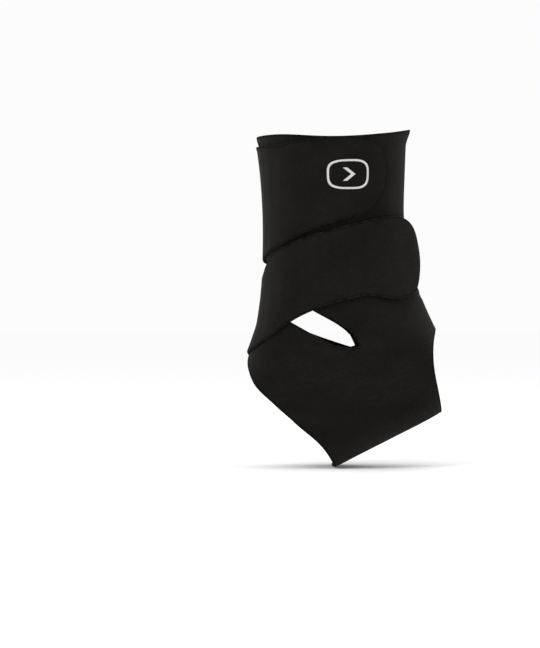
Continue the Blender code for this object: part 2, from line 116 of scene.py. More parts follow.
# Openings of the panel in side view, x and z in millimetres.
SLIT_LOWER = [(-17.7, 56.1), (-22.0, 55.2), (-31.0, 56.4), (-40.0, 60.6), (-57.3, 70.2), (-77.0, 81.5)]
SLIT_FRONT = [(-95.0, 87.0), (-95.0, 113.0)]
SLIT_UPPER = [(-80.0, 112.0), (-71.0, 106.5), (-66.0, 96.0), (-55.0, 84.6), (-44.1, 77.4), (-28.0, 68.4)]
SLIT_UPPER += [(-20.7, 62.4)]
HEEL_EDGE = [(30.5, 71.0), (27.3, 60.0), (26.4, 50.4), (27.3, 40.2), (30.3, 26.0), (33.0, 13.0), (36.0, 2.0)]
HEEL_CLEAR = [(70.0, 2.0), (70.0, 71.0)]


def curve(knots, values, x):
    """A smooth curve through the values at the knots: cubic Hermite with central slopes."""
    knots = np.asarray(knots, float)
    values = np.asarray(values, float)
    slopes = np.gradient(values, knots, axis=0)
    x = np.clip(np.asarray(x, float), knots[0], knots[-1])
    i = np.clip(np.searchsorted(knots, x, side="right") - 1, 0, len(knots) - 2)
    step = knots[i + 1] - knots[i]
    t = (x - knots[i]) / step
    if values.ndim > 1:
        t, step = t[..., None], step[..., None]
    return (
        (2 * t**3 - 3 * t**2 + 1) * values[i]
        + (t**3 - 2 * t**2 + t) * step * slopes[i]
        + (3 * t**2 - 2 * t**3) * values[i + 1]
        + (t**3 - t**2) * step * slopes[i + 1]
    )


def edge(points, angle):
    angles, stations = zip(*points)
    return curve(angles, stations, angle)


def smoothstep(low, high, x):
    t = np.clip((np.asarray(x, float) - low) / (high - low), 0, 1)
    return t * t * (3 - 2 * t)


def bump(centre, width, x):
    """A smooth hill of height 1."""
    return np.exp(-(((np.asarray(x, float) - centre) / width) ** 2))


def squared(value, power):
    """A power that keeps the sign: it makes a circle's cosine and sine those of a squarer round."""
    return np.sign(value) * np.abs(value) ** power


def unit(vectors):
    return vectors / np.linalg.norm(vectors, axis=-1, keepdims=True)


def skin(angle, station):
    """The skin side of the main panel at an angle and a station, in metres."""
    angle, station = np.broadcast_arrays(np.asarray(angle, float), np.asarray(station, float))
    at = curve(range(len(FORM)), FORM, station)
    front, back, half = at[..., 0:2], at[..., 2:4], at[..., 4]
    cos, sin = np.cos(np.radians(angle)), np.sin(np.radians(angle))
    power = 2 / np.where(cos > 0, at[..., 5], at[..., 6])
    xz = (front + back) / 2 - (back - front) / 2 * squared(cos, power)[..., None]
    from_bone = ((xz - ANKLE_BONE) ** 2).sum(-1)
    bone = 1 + BONE_RISE * np.exp(-from_bone / (2 * BONE_REACH**2))
    place = np.stack([xz[..., 0], -half * squared(sin, power) * bone, xz[..., 1]], -1) * MM
    up = np.array([-math.sin(SOLE_TILT), 0, math.cos(SOLE_TILT)])
    depth = place @ up - PANEL_THICK
    return place - np.minimum(depth, 0)[..., None] * up


def outward(angle, station, step=0.05):
    """The form's outward unit normal, from differences along the angle and the station."""
    angle, station = np.asarray(angle, float), np.asarray(station, float)
    along = skin(angle + 1, station) - skin(angle - 1, station)
    down = skin(angle, np.minimum(station + step, LAST_STATION)) - skin(angle, np.maximum(station - step, 0))
    return unit(np.cross(down, along))


def on_form(angle, station, lift):
    angle, station, lift = np.broadcast_arrays(angle, station, lift)
    return skin(angle, station) + outward(angle, station) * lift[..., None]


def rim(angle):
    return edge(RIM, np.abs(angle))


def front_edge(angle):
    return edge(FRONT_EDGE, np.abs(angle))


class Band:
    """The part of the form that a strap covers: its two edges, and half its width in mm when laid flat."""

    def __init__(self, top, bottom, half):
        self.top, self.bottom, self.half = top, bottom, half

    def station(self, angle, share):
        """The station at a share of the way from the top edge to the bottom edge."""
        top = edge(self.top, angle)
        return top + (edge(self.bottom, angle) - top) * share

    def share(self, angle, station):
        top = edge(self.top, angle)
        return (station - top) / (edge(self.bottom, angle) - top)


UPPER = Band(UPPER_TOP, UPPER_BOTTOM, 31.0)
LOWER = Band(LOWER_TOP, LOWER_BOTTOM, 20.0)

# --- nets of places


def grid_faces(rows, columns, ring=False):
    """Four-sided faces over a grid of points, row by row."""
    faces = []
    for row in range(rows - 1):
        for column in range(columns if ring else columns - 1):
            here, below, beside = row * columns, (row + 1) * columns, (column + 1) % columns
            faces.append((here + column, below + column, below + beside, here + beside))
    return faces


def weave_map(angle, down):
    """Spots on the cloth: millimetres round the form and millimetres down it."""
    return np.stack(np.broadcast_arrays(np.asarray(angle) * MM_PER_DEGREE, down), -1)


class Net:
    """Places on the form with faces between them: angle and station per point, its spot on the cloth, and the
    column of each face."""

    def __init__(self, angles, stations, weave, ring=False):
        angles, stations = np.broadcast_arrays(angles, stations)
        self.place = np.stack([angles, stations], -1).reshape(-1, 2)
        self.weave = weave.reshape(-1, 2)
        self.faces = grid_faces(*angles.shape, ring)
        self.group = [face[0] % angles.shape[1] for face in self.faces]

    def cut(self, distance, snap):
        """Keeps the part where distance is positive, in mm, with its edge exactly where it is zero."""
        value = distance(self.place)
        near = np.abs(value) < snap
        for _ in range(3):
            self.place[near] = toward_zero(distance, self.place[near])
        value[near] = 0.0
        places, weaves, made = list(self.place), list(self.weave), {}

        def crossing(a, b):
            key = (min(a, b), max(a, b))
            if key not in made:
                share = value[a] / (value[a] - value[b])
                turn = (places[b][0] - places[a][0] + 180) % 360 - 180
                down = places[b][1] - places[a][1]
                made[key] = len(places)
                places.append(places[a] + np.array([turn, down]) * share)
                weaves.append(weaves[a] + (weaves[b] - weaves[a]) * share)
            return made[key]

        faces, groups = [], []
        for face, group in zip(self.faces, self.group):
            signs = value[list(face)]
            if signs.max() <= 0:
                continue
            if signs.min() < 0:
                kept = []
                for a, b in zip(face, face[1:] + face[:1]):
                    if value[a] >= 0:
                        kept.append(a)
                    if value[a] * value[b] < 0:
                        kept.append(crossing(a, b))
                face = tuple(kept)
            if len(face) > 2:
                faces.append(face)
                groups.append(group)
        self.faces, self.group = faces, groups
        self.place, self.weave = np.array(places), np.array(weaves)
        self.keep_used()

    def keep_used(self):
        used = sorted({i for face in self.faces for i in face})
        new = {old: i for i, old in enumerate(used)}
        self.place, self.weave = self.place[used], self.weave[used]
        self.faces = [tuple(new[i] for i in face) for face in self.faces]


def toward_zero(distance, place):
    """One Newton step of places towards the line where distance is zero."""
    nudge = np.array([0.2, 0.01])
    here = distance(place)
    slope = []
    for unit in np.eye(2) * nudge:
        slope.append((distance(place + unit) - distance(place - unit)) / (2 * unit.sum()))
    slope = np.stack(slope, -1)
    scaled = slope * (nudge / nudge.max()) ** 2
    return place - scaled * (here / np.maximum((scaled * slope).sum(-1), 1e-9))[:, None]


def smooth_outline(points):
    last = len(points) - 1
    return curve(range(len(points)), points, np.linspace(0, last, 8 * last + 1)).tolist()


def from_outline(outline):
    """Signed distance in mm from a closed outline: positive outside."""
    corners = np.array(outline)
    ends = np.roll(corners, -1, axis=0)
    span = ends - corners

    def distance(points):
        away = points[:, None, :] - corners
        share = np.clip((away * span).sum(-1) / (span**2).sum(-1), 0, 1)
        gap = np.sqrt(((away - span * share[..., None]) ** 2).sum(-1)).min(1)
        above = (corners[:, 1] > points[:, None, 1]) != (ends[:, 1] > points[:, None, 1])
        with np.errstate(divide="ignore", invalid="ignore"):
            reach = corners[:, 0] + (points[:, None, 1] - corners[:, 1]) / span[:, 1] * span[:, 0]
        inside = (above & (points[:, None, 0] < reach)).sum(1) % 2 == 1
        return np.where(inside, -gap, gap)

    return distance


# --- from two sides to a closed mesh

RIM_STEPS = 5
SPLIT_CREASE = math.radians(50)


def boundary_loops(faces):
    """The next boundary point after each boundary point, along the faces' own direction."""
    edges = {(a, b) for face in faces for a, b in zip(face, face[1:] + face[:1])}
    return {a: b for a, b in edges if (b, a) not in edges}


def reverse(loops):
    return {b: a for a, b in loops.items()}


def edge_distance(points, border):
    """Distance in metres of each point from the nearest border point."""
    tree = KDTree(len(border))
    for i in border:
        tree.insert(points[i], i)
    tree.balance()
    return np.array([tree.find(point)[2] for point in points])


def round_rims(inner, outer, following):
    """A sheet's points: its two sides, and a half round rim at each point of its border. Also each border
    point's rim, from the outer point to the inner one."""
    before = reverse(following)
    middle, half = (inner + outer) / 2, (outer - inner) / 2
    points, rings = [*inner, *outer], {}
    for i, after in following.items():
        side = np.cross(middle[after] - middle[before[i]], half[i])
        side *= np.linalg.norm(half[i]) / max(np.linalg.norm(side), 1e-12)
        ring = [len(inner) + i]
        for step in range(1, RIM_STEPS):
            turn = math.pi * step / RIM_STEPS
            ring.append(len(points))
            points.append(middle[i] + half[i] * math.cos(turn) + side * math.sin(turn))
        rings[i] = [*ring, i]
    return np.array(points), rings


def closing_faces(chosen, count, following, rings):
    """Faces of one stretch of a sheet: its two sides, its rims, and flat ends where it was split off. Also
    whether it has such an end."""
    faces = [tuple(count + i for i in face) for face in chosen] + [tuple(reversed(face)) for face in chosen]
    own, before = boundary_loops(chosen), reverse(following)
    behind = reverse(own)
    split = False
    for a, b in own.items():
        if following.get(a) == b:
            faces += [(rings[a][s], rings[a][s + 1], rings[b][s + 1], rings[b][s]) for s in range(RIM_STEPS)]
        else:
            faces.append((count + b, count + a, a, b))
            split = True
    for i in set(own) & set(rings):
        if following.get(i) != own[i]:
            faces.append(tuple(rings[i]))
        elif behind[i] != before[i]:
            faces.append(tuple(reversed(rings[i])))
    return faces, split


def sheets(name, inner, outer, faces, weave, look, group=None, splits=(), border=None):
    """Closes the space between a sheet's two sides, as one object, or as one for each stretch of columns
    between the splits, whose ends meet exactly."""
    following = boundary_loops(faces)
    points, rings = round_rims(inner, outer, following)
    count = len(inner)
    if border is None:
        border = edge_distance(inner, list(following))
    from_edge = np.zeros(len(points))
    from_edge[: 2 * count] = np.tile(border, 2)
    spots = np.zeros((len(points), 2))
    spots[: 2 * count] = np.tile(weave, (2, 1))
    for i, ring in rings.items():
        spots[ring] = weave[i]
    group = group or [0] * len(faces)
    limits = [0, *splits, max(group) + 1]
    made = []
    for number, (low, high) in enumerate(zip(limits, limits[1:])):
        chosen = [face for face, column in zip(faces, group) if low <= column < high]
        closed, split = closing_faces(chosen, count, following, rings)
        label = f"{name}_{number + 1}" if splits else name
        made.append(mesh_object(label, points, closed, spots, from_edge, look, split))
    return made if splits else made[0]


def build(name, net, lift, thickness, look, splits=()):
    """The sheet on a net. Its lift is a function of angle and station, and its thickness may be one."""
    angle, station = net.place.T
    inner = on_form(angle, station, lift(angle, station))
    thick = thickness(angle, station) if callable(thickness) else np.full(len(angle), thickness)
    outer = inner + outward(angle, station) * thick[:, None]
    return sheets(name, inner, outer, net.faces, net.weave, look, net.group, splits)


def thickened(rows, thickness):
    """A grid of points, moved out by a thickness towards its outward side."""
    return rows + unit(np.cross(np.gradient(rows, axis=0), np.gradient(rows, axis=1))) * thickness


def loft(name, under, over, look, weave, border=None):
    """The sheet between two grids of points."""
    inner, outer = under.reshape(-1, 3), over.reshape(-1, 3)
    faces = grid_faces(*under.shape[:2])
    return sheets(name, inner, outer, faces, weave.reshape(-1, 2), look, border=border)


def add_object(name, data):
    made = bpy.data.objects.new(name, data)
    bpy.context.scene.collection.objects.link(made)
    return made


def mesh_object(name, points, faces, weave, from_edge, look, creased=False):
    """An object with the weave as its UV map and, per point, its distance from the sheet's edge in mm."""
    used = sorted({i for face in faces for i in face})
    new = {old: i for i, old in enumerate(used)}
    mesh = bpy.data.meshes.new(name)
    mesh.from_pydata(points[used].tolist(), [], [tuple(new[i] for i in face) for face in faces])
    mesh.shade_smooth()
    if creased:
        mesh.set_sharp_from_angle(angle=SPLIT_CREASE)
    layer = mesh.uv_layers.new(name="weave")
    corner = np.zeros(len(mesh.loops), np.int32)
    mesh.loops.foreach_get("vertex_index", corner)
    spots = weave[used][corner]
    starts = np.zeros(len(mesh.polygons), np.int32)
    mesh.polygons.foreach_get("loop_start", starts)
    highest = np.repeat(np.maximum.reduceat(spots[:, 0], starts), np.diff([*starts, len(spots)]))
    spots[:, 0] += np.where(highest - spots[:, 0] > 180 * MM_PER_DEGREE, 360 * MM_PER_DEGREE, 0)
    layer.data.foreach_set("uv", spots.astype(np.float32).ravel())
    attribute = mesh.attributes.new("from_edge", "FLOAT", "POINT")
    attribute.data.foreach_set("value", (from_edge[used] / MM).astype(np.float32))
    mesh.materials.append(look)
    return add_object(name, mesh)


def settle(obj, body, slot, *nodes):
    """The piece moves with a body and stands in for CAD nodes, which are hidden. Its slot is not used."""
    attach(obj, body)
    if nodes:
        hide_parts(*nodes)


# --- materials


class Value:
    """A number or a colour in a material that is being wired: sums and products of values add nodes."""

    def __init__(self, socket):
        self.socket = socket

    def node(self, kind, output=0, settings=(), **inputs):
        return add_node(self.socket.id_data, kind, output, settings, **inputs)

    def math(self, operation, other=0.0):
        return self.node("ShaderNodeMath", settings={"operation": operation}, i0=self, i1=other)

    def __add__(self, other):
        return self.math("ADD", other)

    def __sub__(self, other):
        return self.math("SUBTRACT", other)

    def __mul__(self, other):
        return self.math("MULTIPLY", other)

    def __truediv__(self, other):
        return self.math("DIVIDE", other)

    def __abs__(self):
        return self.math("ABSOLUTE")

    def inverted(self):
        return self.node("ShaderNodeMath", settings={"operation": "SUBTRACT"}, i0=1.0, i1=self)

    def sine(self, turn):
        return (self * turn).math("SINE")

    def ramp(self, low, high, to_low=0.0, to_high=1.0):
        return self.node("ShaderNodeMapRange", i0=self, i1=low, i2=high, i3=to_low, i4=to_high)

    def vary(self, low=0.0, high=1.0):
        """A noise's usual range, spread between two values."""
        return self.ramp(0.3, 0.7, low, high)

    def mix(self, a, b):
        return self.node("ShaderNodeMix", output=2, settings={"data_type": "RGBA"}, i0=self, i6=a, i7=b)

    def tint(self, colour):
        return self.node("ShaderNodeVectorMath", settings={"operation": "SCALE"}, i0=colour, Scale=self)

    def bump(self, distance):
        return self.node("ShaderNodeBump", Height=self, Distance=distance, Strength=1.0)


def put(target, value):
    if isinstance(value, Value):
        target.id_data.links.new(value.socket, target)
    else:
        target.default_value = value


def add_node(tree, kind, output=0, settings=(), **inputs):
    """Adds a node and gives one of its outputs. An input is given by its name, or by i and its number."""
    made = tree.nodes.new(kind)
    for key, value in dict(settings).items():
        setattr(made, key, value)
    for key, value in inputs.items():
        put(made.inputs[int(key[1:]) if key[1:].isdigit() else key.replace("_", " ")], value)
    return Value(made.outputs[output])


class Look:
    """A material being wired. Its noises and cells lie on the cloth, in millimetres."""

    def __init__(self, name):
        self.material = bpy.data.materials.new(name)
        self.material.use_nodes = True
        self.tree = self.material.node_tree
        self.shader = self.tree.nodes["Principled BSDF"]
        self.place = add_node(self.tree, "ShaderNodeUVMap", settings={"uv_map": "weave"})

    def along_across(self):
        along = add_node(self.tree, "ShaderNodeSeparateXYZ", i0=self.place)
        return along, Value(along.socket.node.outputs[1])

    def from_edge(self):
        """Millimetres from the edge of the sheet."""
        return add_node(self.tree, "ShaderNodeAttribute", 2, {"attribute_name": "from_edge"})

    def noise(self, scale, detail=2.0, rough=0.5):
        inputs = {"Vector": self.place, "Scale": scale, "Detail": detail, "Roughness": rough}
        return self.place.node("ShaderNodeTexNoise", **inputs)

    def cells(self, scale, feature="F1"):
        settings = {"feature": feature}
        return self.place.node("ShaderNodeTexVoronoi", 0, settings, Vector=self.place, Scale=scale)

    def set(self, **values):
        for key, value in values.items():
            put(self.shader.inputs[key.replace("_", " ")], value)
        return self.material


def grey(value, warm=0.0):
    return (value * (1 + warm), value, value * (1 - warm))


def knit(name, tone, wale=0.8, course=0.62):
    """A fine jersey: columns of small V-shaped stitches, with painted shade between them, and a soft sheen at
    grazing angles. Along a cut edge it has a band of painted shade, and the very rim is paler, partly for the
    fraying of its cut and partly as a painted highlight."""
    look = Look(name)
    u, v = look.along_across()
    across = (u / wale).math("PINGPONG", 0.5)
    fuzz = look.noise(2.6, 3.0, 0.7)
    row = (v / course + across * 1.5).sine(2 * math.pi)
    height = row * 0.5 + across.sine(2 * math.pi) + fuzz * 0.8
    # Painted shade: the colour follows the stitch relief, darker in the valleys between stitches.
    light = height.ramp(-0.6, 2.1, 0.66, 1.32)
    light *= look.noise(0.05, 3.0, 0.55).vary(0.82, 1.18)
    light *= look.noise(0.55, 2.0, 0.6).vary(0.84, 1.16)
    # Painted shade in a band about a millimetre wide along each edge of the sheet, and a paler rim.
    edge_mm = look.from_edge()
    fray_and_highlight = look.noise(0.35, 3.0, 0.7).ramp(0.42, 0.62, 0.5, 1.7)
    # The very rim is paler, partly for the fraying of its cut and partly as a painted highlight.
    cut = edge_mm.ramp(0.0, 0.12, 1.0, 0.3) * fray_and_highlight
    # Painted shade: darker within a millimetre of the edge, most at a tenth of a millimetre.
    light *= cut.math("MAXIMUM", edge_mm.ramp(0.1, 1.0, 0.42, 1.0))
    return look.set(
        Base_Color=light.tint((tone * 1.05, tone, tone * 0.87)),
        Roughness=fuzz.vary(0.78, 0.92),
        Specular_IOR_Level=0.03,
        Sheen_Weight=edge_mm.ramp(0.0, 0.9, 0.02, 0.07),
        Sheen_Roughness=0.3,
        Sheen_Tint=(0.9, 0.88, 0.84, 1.0),
        Normal=height.bump(0.08 * MM),
    )


def loop_pile():
    """Brushed loops: a soft matte nap, with painted shade in the partings."""
    look = Look("loop_pile")
    height = look.cells(1.7) * -1.2 + look.noise(3.5, 4.0, 0.75) * 1.6
    return look.set(
        # Painted shade: the colour follows the pile's height, darker in the low partings.
        Base_Color=height.ramp(-0.4, 1.1, 0.45, 1.6).tint(grey(0.0065, 0.05)),
        Roughness=0.95,
        Specular_IOR_Level=0.05,
        Sheen_Weight=0.12,
        Sheen_Roughness=0.5,
        Normal=height.bump(0.25 * MM),
    )


def hook_nylon():
    """Moulded nylon: black, a little glossy, with fine cast grain."""
    look = Look("hook_nylon")
    grain = look.noise(4.0, 3.0, 0.6)
    return look.set(
        Base_Color=grain.vary(0.8, 1.2).tint(grey(0.008)),
        Roughness=grain.vary(0.42, 0.6),
        Specular_IOR_Level=0.45,
        Normal=grain.bump(0.03 * MM),
    )


def grey_ink():
    """Screen print: light grey, rubbery, broken up a little where the knit shows through."""
    look = Look("grey_ink")
    worn = look.noise(1.6, 4.0, 0.65)
    crack = look.cells(1.3, "DISTANCE_TO_EDGE")
    light = worn.ramp(0.3, 0.75, 1.08, 0.82) * crack.ramp(0.0, 0.05, 0.8, 1.0)
    return look.set(
        Base_Color=light.tint((0.5, 0.5, 0.49)),
        Roughness=0.55,
        Specular_IOR_Level=0.3,
        Normal=worn.bump(0.04 * MM),
    )


def silicone():
    """Clear grey silicone beads over the black knit."""
    look = Look("silicone_beads")
    cloudy = look.noise(0.4, 3.0, 0.6)
    return look.set(
        Base_Color=cloudy.vary(0.75, 1.25).tint(grey(0.03)),
        Roughness=cloudy.vary(0.2, 0.34),
        Specular_IOR_Level=0.5,
        Coat_Weight=0.2,
        Coat_Roughness=0.2,
    )


def twill(name, tone, pitch, sheen):
    """Woven tape: slanting ribs crossed by fine picks, with painted shade between the ribs."""
    look = Look(name)
    u, v = look.along_across()
    height = (u + v).sine(2 * math.pi / pitch) + (u - v).sine(4 * math.pi / pitch) * 0.4
    # Painted shade: the colour follows the weave's height, darker in the grooves between ribs.
    light = height.ramp(-1.4, 1.4, 0.7, 1.25) * look.noise(3.0, 3.0, 0.6).vary(0.85, 1.15)
    return look.set(
        Base_Color=light.tint(grey(tone, 0.02)),
        Roughness=0.8,
        Specular_IOR_Level=0.2,
        Sheen_Weight=sheen,
        Normal=height.bump(0.08 * MM),
    )


def power_mesh(pitch):
    """Stretch mesh: fine black yarns round small open holes, seen through."""
    look = Look("power_mesh")
    u, v = look.along_across()
    opened = abs(u.sine(math.pi / pitch)) * abs(v.sine(math.pi / pitch))
    clear = opened.math("GREATER_THAN", 0.72) * look.from_edge().math("GREATER_THAN", 2.2)
    return look.set(
        Base_Color=look.noise(3.0, 2.0, 0.6).vary(0.7, 1.4).tint(grey(0.012, 0.02)),
        Roughness=0.7,
        Specular_IOR_Level=0.25,
        Sheen_Weight=0.2,
        Alpha=clear.inverted(),
        Normal=opened.inverted().bump(0.12 * MM),
    )


def pack_film():
    """Clear vinyl film, slightly cloudy, with small ripples, scuffs and a pressed, sealed border."""
    look = Look("clear_film")
    edge_mm = look.from_edge()
    sealed = edge_mm.ramp(4.6, 5.2, 1.0, 0.0)
    height = look.noise(0.25, 3.0, 0.55) + edge_mm.sine(2 * math.pi / 1.1) * sealed * 0.35
    return look.set(
        Base_Color=(0.62, 0.78, 0.9, 1.0),
        Roughness=look.noise(1.8, 4.0, 0.7).vary(0.06, 0.18),
        Transmission_Weight=sealed.ramp(0.0, 1.0, 0.96, 0.75),
        IOR=1.25,
        Normal=height.bump(0.35 * MM),
    )


def cold_gel():
    """Blue gel: deep blue, wet looking, with cloudy parts and a few small bubbles."""
    look = Look("blue_gel")
    cloudy = look.noise(0.12, 3.0, 0.5)
    bubble = look.cells(0.32).ramp(0.05, 0.16, 1.0, 0.0)
    deep = cloudy.vary().mix((0.01, 0.10, 0.33, 1.0), (0.03, 0.24, 0.55, 1.0))
    return look.set(
        Base_Color=bubble.mix(deep, (0.35, 0.62, 0.85, 1.0)),
        Roughness=0.16,
        Specular_IOR_Level=0.5,
        Subsurface_Weight=0.4,
        Subsurface_Radius=(0.002, 0.004, 0.008),
        Coat_Weight=0.5,
        Coat_Roughness=0.05,
        Normal=(cloudy - bubble * 0.3).bump(0.6 * MM),
    )


def thread(name, tone):
    """Spun polyester thread with its twist."""
    look = Look(name)
    look.place = add_node(look.tree, "ShaderNodeTexCoord", output=3)
    colour = look.noise(2400.0, 1.0).vary(0.6, 1.5).tint(grey(tone, 0.02))
    return look.set(Base_Color=colour, Roughness=0.6, Specular_IOR_Level=0.35, Sheen_Weight=0.3)


BLACK_KNIT = knit("black_knit", 0.0070)
LOOP_PILE = loop_pile()
HOOK_NYLON = hook_nylon()
GREY_INK = grey_ink()
SILICONE = silicone()
TWILL = twill("seam_twill", 0.03, 1.1, 0.3)
SATIN = twill("label_satin", 0.62, 0.5, 0.2)
BINDING = twill("pocket_binding", 0.02, 0.9, 0.3)
POWER_MESH = power_mesh(1.5)
PACK_FILM = pack_film()
COLD_GEL = cold_gel()
BLACK_THREAD = thread("black_thread", 0.03)

# --- the sleeve

NET_STEP = 1.7  # mm between net lines
NET_SNAP = 0.3 * NET_STEP
PANEL_LONG = 205.0  # mm from the rim down to the front edge
PANEL_COLUMN = 2.5  # degrees
SEAM_COLUMNS = (0.0, 0.6, 1.6)  # degrees from the back seam
RIM_STATION = 24.0  # mm from one station to the next, at the rim
EDGE_STATION = 18.0  # and at the front edge
SEAM_GROOVE = (0.25, 1.2)  # share of the thickness, and half width in degrees
CUFF_FLARE = (2.4, 20.0)  # mm and degrees, at the back of the cuff
SHIN_FLARE = (1.2, 16.0)  # and at its front
TENDON_CREASES = [(3.35, 0.35), (3.75, 0.5), (4.15, 0.4)]  # station and depth in mm


def panel_net():
    """The sleeve's net, with finer columns beside the back seam, and both openings cut."""
    half = [*SEAM_COLUMNS, *np.arange(PANEL_COLUMN * 1.5, 180, PANEL_COLUMN)]
    angles = np.array(sorted({a - 180 for a in half} | {180 - a for a in half[1:]}))
    share = np.linspace(0, 1, round(PANEL_LONG / NET_STEP))[:, None]
    inset = PANEL_THICK / 2 / MM
    top, bottom = rim(angles) + inset / RIM_STATION, front_edge(angles) - inset / EDGE_STATION
    stations = top + (bottom - top) * share
    grid = np.broadcast_to(angles, stations.shape)
    place = skin(grid, stations)
    down = np.linalg.norm(np.diff(place, axis=0, prepend=place[:1]), axis=-1).cumsum(0) / MM
    net = Net(grid, stations, weave_map(grid, down), ring=True)
    slit = from_outline(smooth_outline(SLIT_LOWER) + SLIT_FRONT + smooth_outline(SLIT_UPPER))
    heel = from_outline(smooth_outline(HEEL_EDGE) + HEEL_CLEAR)

    def distance(spots):
        side = skin(spots[:, 0], spots[:, 1])[:, [0, 2]] / MM
        return np.minimum(slit(side), heel(side)) - inset

    net.cut(distance, NET_SNAP)
    return net


def from_heel(angle):
    """Degrees from the back of the sleeve."""
    return np.abs((np.asarray(angle, float) + 360) % 360 - 180)


def panel_thick(angle, station):
    """The sleeve's thickness, with the groove of its closing seam down the back."""
    deep, wide = SEAM_GROOVE
    return PANEL_THICK * (1 - deep * bump(0, wide, from_heel(angle)))


def panel_lift(angle, station):
    """Small moves of the sleeve: the cuff flared at the back and the front, and creases at the tendon."""
    turned = from_heel(angle)
    lift = CUFF_FLARE[0] * bump(0, CUFF_FLARE[1], turned) * (1 - smoothstep(0, 0.4, station))
    lift += SHIN_FLARE[0] * bump(0, SHIN_FLARE[1], angle) * (1 - smoothstep(0.05, 0.4, station))
    for at, deep in TENDON_CREASES:
        wander = at + 0.12 * np.sin(np.radians(angle * 3 + at * 90))
        lift -= deep * bump(wander, 0.09, station) * bump(0, 38, turned)
    return lift * MM


def sleeve():
    body = build("sleeve_fabric", panel_net(), panel_lift, panel_thick, BLACK_KNIT)
    settle(body, "sleeve", "compression_fabric", "main_panel")


# --- the straps

STRAP_THICK = 1.4 * MM
STRAP_LIFT = PANEL_THICK + 0.5 * MM
LOOP_THICK = 0.5 * MM
LOOP_LIFT = PANEL_THICK + 0.1 * MM
HOOK_LONG = 0.45 * MM
HOOK_THICK = 0.35 * MM
HOOK_LIFT = LOOP_LIFT + LOOP_THICK + HOOK_LONG + 0.05 * MM
TAB_LIFT = HOOK_LIFT + HOOK_THICK + 0.1 * MM
UPPER_LINES = [(-112.5, -112.5), (-75.0, -75.0), (-15.0, -15.0), (52.5, 52.5)]
UPPER_TIP = (105.0, 132.0)
LOWER_LINES = [(-131.0, -121.0), (-102.0, -92.0), (-25.0, -19.0), (53.0, 65.0)]
LOWER_TIP = (142.5, 174.0)
TIP_SQUARE = 2.6
UPPER_KICK = 0.6 * MM
LOWER_KICK = 4.5 * MM
LOWER_SLANT = 0.36  # how much shorter the tab's lower corner is
# Heights of a strap's waves in mm: all along it, at its edges, and in front of the shin.
SLOW_WAVE, EDGE_WAVE, SHIN_WAVE = 0.12, 0.25, 0.1
FAR = 99.0  # mm: clear of any edge


def bend_line(ends, band, share):
    """The angles of a line straight across a strap, from its angle at the top edge to that at the bottom."""

    def place(angle, at):
        return skin(angle, band.station(angle, at))

    high, low = place(np.array(ends, float), np.array([0.0, 1.0]))
    middle = np.mean(ends)
    across = np.cross(low - high, outward(middle, band.station(middle, 0.5)))
    angle = ends[0] + (ends[1] - ends[0]) * share
    for _ in range(6):
        miss = (place(angle, share) - high) @ across
        slope = (place(angle + 0.5, share) - place(angle - 0.5, share)) @ across
        angle = angle - miss / slope
    return angle


def tongue(tip, half, slant):
    """Outline of a strap's free end, along and across the strap in mm from where its rounding begins."""
    turn = np.linspace(-math.pi / 2, math.pi / 2, 60)
    x = (tip[1] - tip[0]) * MM_PER_DEGREE * squared(np.cos(turn), 2 / TIP_SQUARE)
    y = half * squared(np.sin(turn), 2 / TIP_SQUARE)
    x = x * (1 - slant * smoothstep(-0.2, 1, y / half))
    return [(-40.0, -half), *zip(x, y), (-40.0, half)]


def strap_columns(keys):
    """Columns of angles from each bend line to the next, and the columns that the lines became."""
    columns, marks = [keys[0]], [0]
    for near, far in zip(keys, keys[1:]):
        count = max(2, round((far - near).mean() * MM_PER_DEGREE / NET_STEP))
        columns += [near + (far - near) * k / count for k in range(1, count + 1)]
        marks.append(len(columns) - 1)
    return np.array(columns).T, marks


def strap_net(band, lines, tip, slant):
    """A strap's net along its bend lines, its free end cut round, and the columns where it is split."""
    width = 2 * band.half
    inset = STRAP_THICK / 2 / MM
    share = np.linspace(inset / width, 1 - inset / width, round(width / NET_STEP))
    keys = [bend_line(line, band, share) for line in lines]
    angles, marks = strap_columns([*keys, np.full(len(share), tip[1] + 1.0)])
    stations = band.station(angles, share[:, None])
    place = skin(angles, stations)
    along = np.linalg.norm(np.diff(place, axis=1, prepend=place[:, :1]), axis=-1).cumsum(1) / MM
    weave = np.stack(np.broadcast_arrays(along[len(share) // 2], share[:, None] * width), -1)
    net = Net(angles, stations, weave)
    outline = from_outline(tongue(tip, band.half, slant))

    def distance(spots):
        angle, station = spots.T
        across = (band.share(angle, station) * 2 - 1) * band.half
        inside = -outline(np.stack([(angle - tip[0]) * MM_PER_DEGREE, across], -1)) - inset
        return np.where(angle < tip[0] - 3, FAR, inside)

    net.cut(distance, NET_SNAP)
    return net, [(marks[1] + marks[2]) // 2, (marks[2] + marks[3]) // 2]


def strap_lift(band, lines, tip, kick):
    """A strap's lift: on the sleeve, then up over its pads, then off at the free end, with slow waves."""
    padded = lines[3][0]

    def lift(angle, station):
        share = band.share(angle, station)
        over_pads = smoothstep(padded - 15, padded + 10, angle)
        free = smoothstep(tip[0] - 4, tip[1] + 4, angle)
        at_edge = smoothstep(0.35, 0.5, np.abs(share - 0.5)) * smoothstep(60, 90, angle)
        ripple = SLOW_WAVE * np.sin(np.radians(angle * 5)) * np.sin(share * 5 + angle / 30)
        ripple = ripple + EDGE_WAVE * at_edge * np.sin(np.radians(angle * 9 + 40))
        ripple = ripple + SHIN_WAVE * bump(14, 22, angle) * np.sin(np.radians(angle * 26 + share * 130))
        flare = np.maximum(panel_lift(angle, station), 0)
        return STRAP_LIFT + (TAB_LIFT - STRAP_LIFT) * over_pads + kick * free**1.5 + ripple * MM + flare

    return lift


